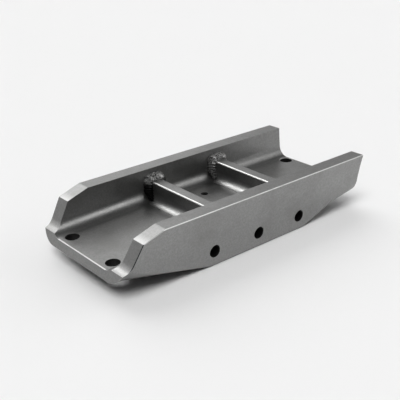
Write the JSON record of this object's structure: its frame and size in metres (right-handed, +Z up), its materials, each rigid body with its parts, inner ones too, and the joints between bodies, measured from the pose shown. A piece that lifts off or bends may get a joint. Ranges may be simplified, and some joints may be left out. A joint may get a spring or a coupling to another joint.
{
  "type": "excavator track guide shoe",
  "caption": "Channel-shaped steel shoe with a sled-like underside, two welded cross ribs, bolt holes in its floor and blind holes in its sides.",
  "frame": {"origin": "middle of the flat low underside's plane, at the centre of the part's overall length and width", "axes": "+X along the shoe from the cut-back nose to the square tail, +Y across it, +Z up from the underside to the tops of the walls"},
  "size_m": [0.6, 0.266, 0.114],
  "materials": {
    "cast_steel": "shot-blasted",
    "rib_steel": "shot-blasted",
    "weld_metal": "as welded"
  },
  "bodies": {
    "root": {"channel_body": "cast_steel", "nose_rib": "rib_steel", "tail_rib": "rib_steel", "nose_weld_near": "weld_metal", "nose_weld_far": "weld_metal", "tail_weld_near": "weld_metal", "tail_weld_far": "weld_metal"}
  },
  "joints": []
}
